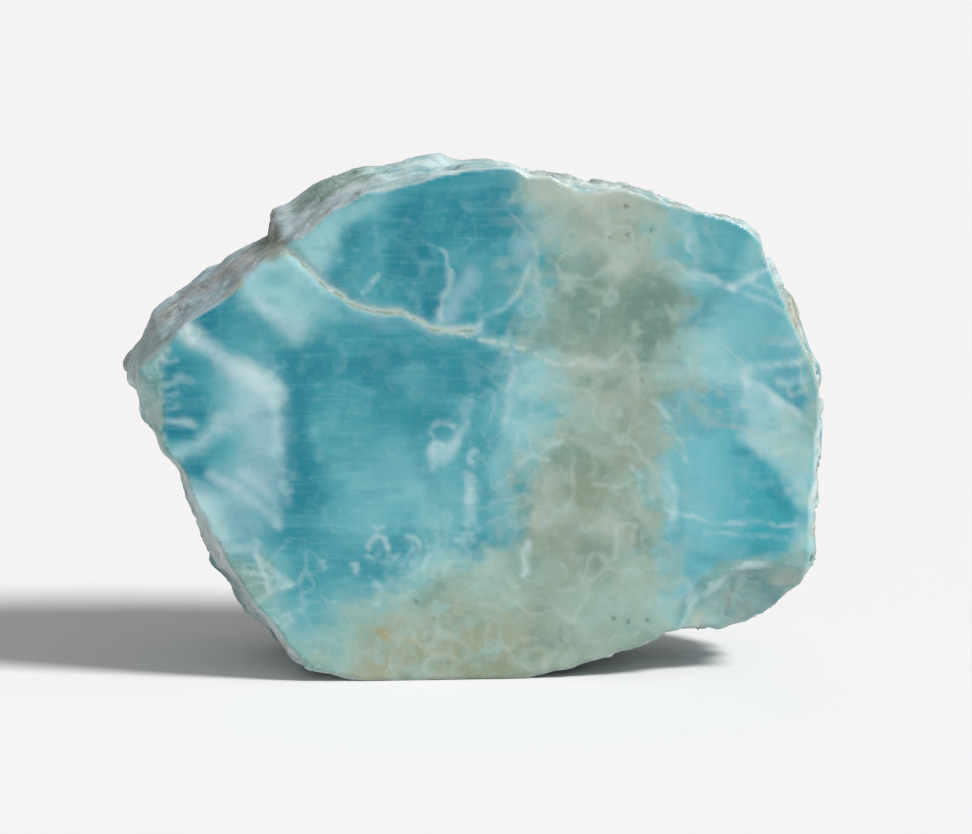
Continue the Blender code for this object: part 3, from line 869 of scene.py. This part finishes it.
PALE_CORNER = ((31.2, 28.8), (34.3, 25.4), (38.1, 20.6), (39.5, 24.0), (39.0, 30.0), (34.0, 32.5))
lay(AQUA, within(PALE_CORNER, 0.5) * 0.6)
patches(AQUA, (
    (38.0, 22.6, 1.0, 2.6, 0, 0.8, 0.9),
    (38.2, 15.4, 1.2, 2.2, 0, 0.8, 0.85),
    (35.6, 25.2, 1.2, 1.0, -30, 0.8, 0.5),
))
veins(WHITE, (
    (((22.6, 48.4), (24.4, 47.2), (26.4, 46.6), (28.6, 46.0), (29.8, 45.5)), 0.36, 0.55),
    (((29.6, 45.4), (31.4, 46.5), (32.6, 47.2), (34.4, 48.0)), 0.26, 0.65),
    (((29.8, 45.2), (31.6, 44.4), (33.6, 43.6), (35.4, 42.8)), 0.24, 0.4),
    (((31.4, 46.2), (33.4, 45.4), (35.0, 44.5), (36.4, 43.8)), 0.22, 0.4),
    (((11.0, 37.2), (14.0, 37.0), (18.0, 36.6), (24.0, 36.0), (30.0, 35.4), (34.0, 36.4),
      (38.0, 36.8)), 0.4, 0.3),
    (((31.4, 35.0), (33.4, 33.8), (35.2, 32.2), (37.2, 30.6)), 0.4, 0.6),
    (((31.8, 36.4), (32.0, 34.0), (31.4, 32.0)), 0.4, 0.4),
    (((22.4, 19.6), (25.0, 18.9), (27.6, 18.1), (32.0, 18.2), (37.4, 17.6)), 0.22, 0.5),
    (((27.0, 17.0), (30.0, 16.9), (34.0, 16.3), (36.5, 16.3)), 0.2, 0.35),
    (((22.0, 24.0), (23.0, 22.0), (23.4, 20.0), (23.4, 18.6)), 0.3, 0.5),
    (((22.4, 29.6), (24.2, 27.6), (24.6, 25.4)), 0.28, 0.4),
    (((21.0, 32.4), (21.8, 31.2), (22.6, 30.6)), 0.3, 0.5),
    (((24.6, 51.6), (24.4, 49.8), (25.6, 48.6)), 0.26, 0.4),
    (((22.0, 53.6), (23.4, 52.4), (24.6, 52.6)), 0.3, 0.3),
    (((18.0, 25.0), (18.8, 24.0), (19.4, 22.6)), 0.22, 0.35),
    (((34.8, 39.6), (36.4, 39.4), (37.8, 39.6)), 0.5, 0.4),
    (((35.0, 36.8), (36.6, 36.6), (38.2, 37.0)), 0.4, 0.5),
    (((35.4, 34.4), (36.8, 34.6), (38.4, 34.6)), 0.4, 0.4),
    (((35.0, 28.2), (36.6, 28.4), (38.4, 28.0)), 0.4, 0.5),
    (((34.8, 26.2), (36.4, 26.6), (38.4, 26.2)), 0.4, 0.4),
))

# The lobe at the lower right is set off by a chipped line, greener and duller than the pool above it.
LOBE = (
    (20.0, 4.0), (22.6, 5.4), (24.6, 9.4), (27.0, 12.0), (29.0, 13.4), (33.0, 14.1), (36.0, 14.4),
    (42.0, 14.4))
lobe = rising(soft_x, 22.8, 24.6) * (1 - side_of(LOBE, 0.45, fine_x, fine_z))
lay(shade(116, 162, 158), lobe * 0.95)
lay(shade(146, 178, 172), lobe * rising(marbling, 0.0, 0.5) * 0.6)
lay(shade(96, 146, 150), lobe * rising(-marbling, 0.1, 0.5) * 0.6)
patches(WHITE, (
    (32.8, 12.6, 2.0, 0.6, 4, 0.7, 0.8),
    (28.2, 10.4, 1.6, 0.5, 35, 0.8, 0.6),
    (25.2, 8.8, 0.8, 1.2, -10, 0.8, 0.5),
))
patches(BEIGE, (
    (25.8, 6.2, 1.6, 0.9, -10, 0.8, 0.8),
    (36.6, 11.0, 1.6, 0.8, 0, 0.8, 0.7),
    (30.8, 9.6, 0.5, 1.6, -20, 0.8, 0.4),
    (31.0, 5.8, 2.6, 0.5, 18, 0.8, 0.5),
))

# Greener, duller stone along the right rim, and specks of dark ore.
RIM = (
    (18, 37.9), (22, 38.1), (26, 38.2), (30, 38.4), (34, 38.5), (37, 38.4), (40, 37.6), (43, 36.6),
    (46, 35.0), (50, 33.2))
rim = side_of(RIM, 0.35) * rising(soft_z, 26.0, 29.0)
lay(shade(128, 168, 164), rim * 0.7)
for speck_x, speck_z, size in (
        (17.5, 55.0, 0.30), (19.4, 56.2, 0.22), (17.6, 51.7, 0.22), (20.4, 52.2, 0.26), (20.1, 51.0, 0.18),
        (18.9, 50.1, 0.20), (19.4, 34.8, 0.26), (23.7, 38.6, 0.20), (16.3, 7.0, 0.26), (18.0, 6.6, 0.26),
        (20.2, 6.7, 0.24), (-6.5, 9.3, 0.26), (-4.6, 7.4, 0.18), (-5.2, 2.8, 0.18), (15.6, 51.5, 0.16)):
    lay(ORE, 0.8 * falling(np.hypot(flat_x - speck_x, flat_z - speck_z), 0.0, 1.6 * size))

# Pale wisps wind through the band and the ground, with curled white threads where the colours mix, and
# level streaks run through the blue.
wisps = falling(np.abs(cloudy(6.0, 2, 16) + 0.06 * fine_cloud), 0.0, 0.12)
hazy = falling(np.abs(cloudy(10.0, 3, 17, 0.7) + 0.05 * fine_cloud), 0.0, 0.22)
gone = rising(cloudy(5.0, 3, 18), -0.25, 0.35)
mixed = np.clip(rising(soft_x, 0.0, 6.0) * falling(soft_x, 23.0, 30.0) + ground, 0, 1) * (1 - lobe)
mixed = mixed * (1 - 0.8 * pool)
lay(shade(186, 204, 194), wisps * gone * mixed * 0.36)
lay(shade(168, 188, 177), hazy * mixed * 0.36)
lay(AQUA, wisps * gone * (1 - mixed) * (1 - pool) * (1 - lobe) * 0.14)
curl = np.abs(cloudy(3.2, 2, 14) + 0.05 * fine_cloud)
mixing = np.clip(
    oval(4.5, 29.0, 5.0, 11.0, 0, 0.6, 0.55) + oval(-23.0, 12.0, 6.0, 6.0, 0, 0.6, 0.7)
    + oval(-4.0, 15.0, 8.0, 4.0, 25, 0.6, 0.5) + oval(30.0, 33.0, 7.0, 7.0, 0, 0.6, 0.3)
    + oval(21.0, 20.0, 3.0, 10.0, 0, 0.6, 0.4) + oval(8.0, 44.0, 3.0, 6.0, 0, 0.6, 0.4), 0, 0.8)
lay(WHITE, falling(curl, 0.0, 0.14) * mixing * (1 - 0.85 * pool) * 0.38)
lay(SKY, rising(streaks, 0.1, 0.5) * (1 - band) * (1 - ground) * 0.16)
lay(DEEP, rising(-streaks, 0.1, 0.5) * (1 - band) * (1 - ground) * (1 - lobe) * 0.22)
lay(CLOUD, rising(fine_cloud, 0.15, 0.6) * 0.10)

# The crack from the notch is a line of greenish calcite between pale edges. The breaks are the same stone,
# paler, lighter along their ridges (bruising, and partly a painted highlight), darker in their hollows
# (painted shade), and grown over with thin grey, brown and olive skins.
STRAND = (
    (-2.6, 40.9), (-1.0, 40.4), (0.2, 39.9), (2.2, 39.5), (4.7, 39.0), (6.9, 38.2), (8.0, 37.5),
    (10.0, 36.8), (12.0, 36.7))
from_crack = from_line(CRACK, flat_x, flat_z)
in_crack = falling(from_crack, 1.0, 1.9) * falling(depth, 2.0, 3.0)
lay(CLOUD, falling(from_crack + 0.5 * fine_cloud, 0.2, 1.3) * falling(depth, 2.0, 3.0) * 0.4)
on_lobe = rising(flat_x, 22.0, 25.0) * falling(flat_z, 15.5, 17.0) * falling(depth, 3.0, 6.0)
on_chamfer = rising(-flat_x, 33.5, 35.0) * rising(flat_z, 22.0, 25.0) * falling(flat_z, 40.0, 42.0)
on_chamfer = on_chamfer * falling(depth, 7.0, 12.0)
side = rising(depth, 0.03, 0.30) * (1 - in_crack) * (1 - 0.85 * on_lobe)
lay(shade(150, 186, 180), side * on_chamfer * 0.7)
lay(shade(112, 152, 146), side * on_chamfer * rising(-frosting, 0.1, 0.5) * 0.5)
side = side * (1 - 0.6 * on_chamfer)

edge_line = rising(depth, 0.02, 0.2) * falling(depth, 0.5, 1.0) * rising(flat_x, -6.0, 4.0)
lay(shade(196, 204, 194), edge_line * rising(flat_z, 14.0, 20.0) * 0.6)

skin = cloudy(8.0, 5, 15)
patched = rising(skin, -0.05, 0.25)
upper_left = rising(-flat_x, 23.0, 24.5) * rising(flat_z + 3.0 * fine_cloud, 35.0, 41.0)
top_left = rising(-flat_x + 3.0 * fine_cloud, 7.0, 12.0) * rising(flat_x, -24.5, -23.0)
top_left = top_left * rising(flat_z, 50.0, 52.0)
elsewhere = (1 - upper_left) * (1 - top_left)
by_depth = depth + 3.5 * fine_cloud + 5.0 * skin
brown_skin = rising(by_depth, 4.0, 7.5) * falling(by_depth, 10.0, 15.0)
lay(shade(160, 180, 184), side * (0.45 + 0.2 * rising(skin, -0.3, 0.2)))
lay(shade(142, 158, 150), side * patched * 0.45)
lay(shade(150, 145, 128), side * rising(skin, 0.16, 0.42) * 0.55)
lay(shade(172, 190, 197), side * upper_left * 0.8)
lay(shade(158, 156, 152), side * upper_left * brown_skin * 0.75)
lay(shade(182, 196, 200), side * top_left * 0.75)
lens = falling(np.hypot((flat_x + 14.0) / 7.0, (depth - 15.0) / 8.5) + 0.25 * fine_cloud, 0.75, 1.1)
lay(shade(124, 154, 140), side * top_left * lens * 0.8)
top_middle = falling(np.abs(flat_x + 1.0), 7.0, 11.0) * rising(flat_z, 50.0, 54.0)
lay(shade(180, 206, 208), side * top_middle * 0.6)
plates = cloudy(5.0, 4, 19)
lay(shade(208, 222, 220), side * rising(plates, 0.08, 0.32) * elsewhere * 0.55)
lay(shade(74, 146, 158), side * rising(-plates, 0.16, 0.45) * (1 - patched) * elsewhere * 0.5)
from_rust = np.hypot((flat_x - 37.5) / 4.0, (flat_z - 42.0) / 5.0) + 0.06 * depth
lay(shade(138, 136, 108), side * falling(from_rust + 0.9 * fine_cloud + 0.5 * skin, 0.3, 1.3) * 0.7)
low_left = rising(-flat_x + 2.0 * fine_cloud, 18.0, 24.0) * falling(flat_z, 22.0, 28.0)
lay(shade(192, 198, 201), side * low_left * falling(by_depth, 5.0, 15.0) * 0.6)
STAIN = (-22.6, 50.7)
from_stain = np.hypot(flat_x - STAIN[0], flat_z - STAIN[1])
lay(shade(120, 110, 78), falling(from_stain + fine_cloud, 0.8, 2.2) * 0.75)
OCHRE_EDGE = ((-30.0, 44.6), (-26.6, 46.6))
on_edge = falling(from_line(OCHRE_EDGE, flat_x, flat_z), 0.2, 0.9) * falling(depth, 0.6, 1.4)
lay(shade(160, 158, 122), on_edge * 0.6)

colours = mesh.color_attributes.new("stone colour", "FLOAT_COLOR", "POINT")
colours.data.foreach_set("color", np.column_stack((paint, side)).astype(np.float32).ravel())

# What is finer than the mesh is in the material: fibres, bruises, powdery grain, the crack and the polish,
# with a painted highlight on the breaks' ridges and painted shade in their hollows.
larimar.use_nodes = True
Wire.tree = larimar.node_tree
stone_shader = larimar.node_tree.nodes["Principled BSDF"]


def blend(amount, under, over):
    """One colour laid over another, by an amount from 0 to 1."""
    return Wire.node("ShaderNodeMix", {"data_type": "RGBA"}, {0: amount, 6: under, 7: over}, 2)


def line(corners, width, x, z):
    """1 on a line through these corners, each given as (across, height), and 0 beside it."""
    course = Wire.node("ShaderNodeFloatCurve", {"course": corners}, {"Value": x})
    start, stop = corners[0][0], corners[-1][0]
    ends = x.rise(start - 0.5, start) * x.rise(stop - 0.8, stop, 1.0, 0.0)
    return abs(z - course).rise(0.0, width, 1.0, 0.0) * ends


whole_place = Wire.node("ShaderNodeTexCoord", output=3).vector("SCALE", {"Scale": 1.0 / MM})
whole_place = whole_place.vector("ADD", {1: (PATTERN_SHIFT, -CUT_Y, 0.0)})
across, inward, upward = whole_place.parts()
fibre_place = Wire.node(
    "ShaderNodeMapping", None,
    {"Vector": whole_place, "Rotation": (0, math.radians(0.5), 0), "Scale": (0.07, 1.0, 1.0)})
fibres = noise(fibre_place, 0.55, 3.0, 0.6)
mottle = noise(whole_place, 1.3, 4.0, 0.65)
bruise = noise(whole_place, 2.4, 4.0, 0.65)
powder = noise(whole_place, 0.45, 2.0, 0.6)
thread = abs(noise(whole_place, 5.5, 2.0, 0.5, distortion=0.7) - 0.5).rise(0.0, 0.035, 1.0, 0.0)
# How much the surface bulges at each point. It drives a painted highlight on ridges and painted shade in
# hollows.
ridge = Wire.node("ShaderNodeNewGeometry", output=7)
painted = Wire.node("ShaderNodeAttribute", {"attribute_name": "stone colour"})
rough_side = Wire(painted.socket.node.outputs["Alpha"])
blue = painted.parts()[0].rise(0.06, 0.30, 1.0, 0.15)

polished = blend(fibres.rise(0.48, 0.68) * blue * 0.15, painted, SKY)
polished = blend((1 - fibres.rise(0.32, 0.48)) * blue * 0.10, polished, DEEP)
polished = blend(mottle.rise(0.52, 0.72) * 0.12, polished, CLOUD)
polished = blend((1 - mottle.rise(0.28, 0.47)) * (1.15 - blue) * 0.18, polished, SAGE)
polished = blend(thread * (1.0 - blue) * mottle.rise(0.40, 0.60) * 0.17, polished, shade(190, 212, 208))
bent_z = upward + (noise(whole_place, 0.9, 3.0, 0.6) - 0.5) * 0.9
shallow = 1 - inward.rise(2.0, 3.0)
patchy = mottle.rise(0.38, 0.55)
crack_edges = line(CRACK, 0.75, across, bent_z) * shallow
polished = blend(crack_edges * 0.75, polished, shade(188, 203, 194))
crack_core = line(CRACK, 0.30, across, bent_z + 0.15) * shallow * patchy
polished = blend(crack_core * 0.7, polished, shade(124, 144, 128))
strand = line(STRAND, 0.50, across, bent_z) * patchy * shallow
polished = blend(strand * 0.6, polished, shade(188, 206, 200))

broken = blend(bruise.rise(0.52, 0.66) * 0.5, painted, shade(206, 220, 220))
broken = blend((1 - bruise.rise(0.34, 0.46)) * 0.35, broken, shade(98, 132, 130))
# Painted highlight: the breaks are paler on their ridges, partly standing for bruised edges. Painted shade:
# they are darker in their hollows.
broken = blend(ridge.rise(0.51, 0.58) * 0.45, broken, shade(212, 224, 222))
broken = blend((1 - ridge.rise(0.42, 0.49)) * 0.45, broken, shade(88, 116, 112))
broken = blend(powder.rise(0.50, 0.75) * 0.35, broken, shade(214, 224, 222))
stone_colour = blend(rough_side, polished, broken)

glints = powder.rise(0.60, 0.66) * bruise.rise(0.45, 0.6)
polish = mottle.rise(0.2, 0.8) * 0.05 + 0.14
roughness = polish + rough_side * (0.46 - glints * 0.35)
grit = noise(whole_place, 0.25, 2.0, 0.65) * (rough_side * 0.9 + 0.04)
bump = Wire.node(
    "ShaderNodeBump", None, {"Height": grit, "Strength": 0.6, "Distance": 0.12 * MM})
for name, value in (("Base Color", stone_colour), ("Roughness", roughness), ("Normal", bump)):
    larimar.node_tree.links.new(value.socket, stone_shader.inputs[name])
stone_shader.inputs["IOR"].default_value = 1.6
stone_shader.inputs["Specular IOR Level"].default_value = 0.18
stone_shader.inputs["Coat Roughness"].default_value = 0.04
larimar.node_tree.links.new(((1 - rough_side) * 0.12).socket, stone_shader.inputs["Coat Weight"])

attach(stone, "root")
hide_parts("larimar_stone")


# The setting: a pale floor, an even pale surround, and one soft lamp high on the stone's right.
floor_mesh = bmesh.new()
FLOOR_HALF = 6.0
FLOOR_GAP = 0.02
bmesh.ops.create_grid(floor_mesh, x_segments=1, y_segments=1, size=FLOOR_HALF)
bmesh.ops.translate(floor_mesh, verts=floor_mesh.verts[:], vec=(0, 0, -FLOOR_GAP * MM))
floor = bpy.data.objects.new("floor", bpy.data.meshes.new("floor"))
floor_mesh.to_mesh(floor.data)
floor_mesh.free()
bpy.context.scene.collection.objects.link(floor)
matt = bpy.data.materials.new("floor")
matt.use_nodes = True
floor_shader = matt.node_tree.nodes["Principled BSDF"]
floor_shader.inputs["Base Color"].default_value = (0.82, 0.81, 0.81, 1.0)
floor_shader.inputs["Roughness"].default_value = 0.9
floor.data.materials.append(matt)

surround = bpy.data.worlds.new("surround")
surround.use_nodes = True
sky = surround.node_tree.nodes["Background"]
sky.inputs["Color"].default_value = (1.0, 1.0, 1.0, 1.0)
sky.inputs["Strength"].default_value = 0.35
bpy.context.scene.world = surround

lamp = bpy.data.objects.new("lamp", bpy.data.lights.new("lamp", "SUN"))
lamp.data.angle = math.radians(14.0)
lamp.data.energy = 3.4
lamp_turn = math.radians(62.0)
lamp_rise = math.radians(46.0)
toward_lamp = Vector((
    math.sin(lamp_turn) * math.cos(lamp_rise),
    -math.cos(lamp_turn) * math.cos(lamp_rise),
    math.sin(lamp_rise)))
lamp.rotation_euler = (-toward_lamp).to_track_quat("-Z", "Y").to_euler()
bpy.context.scene.collection.objects.link(lamp)
bpy.context.scene.view_settings.view_transform = "Standard"
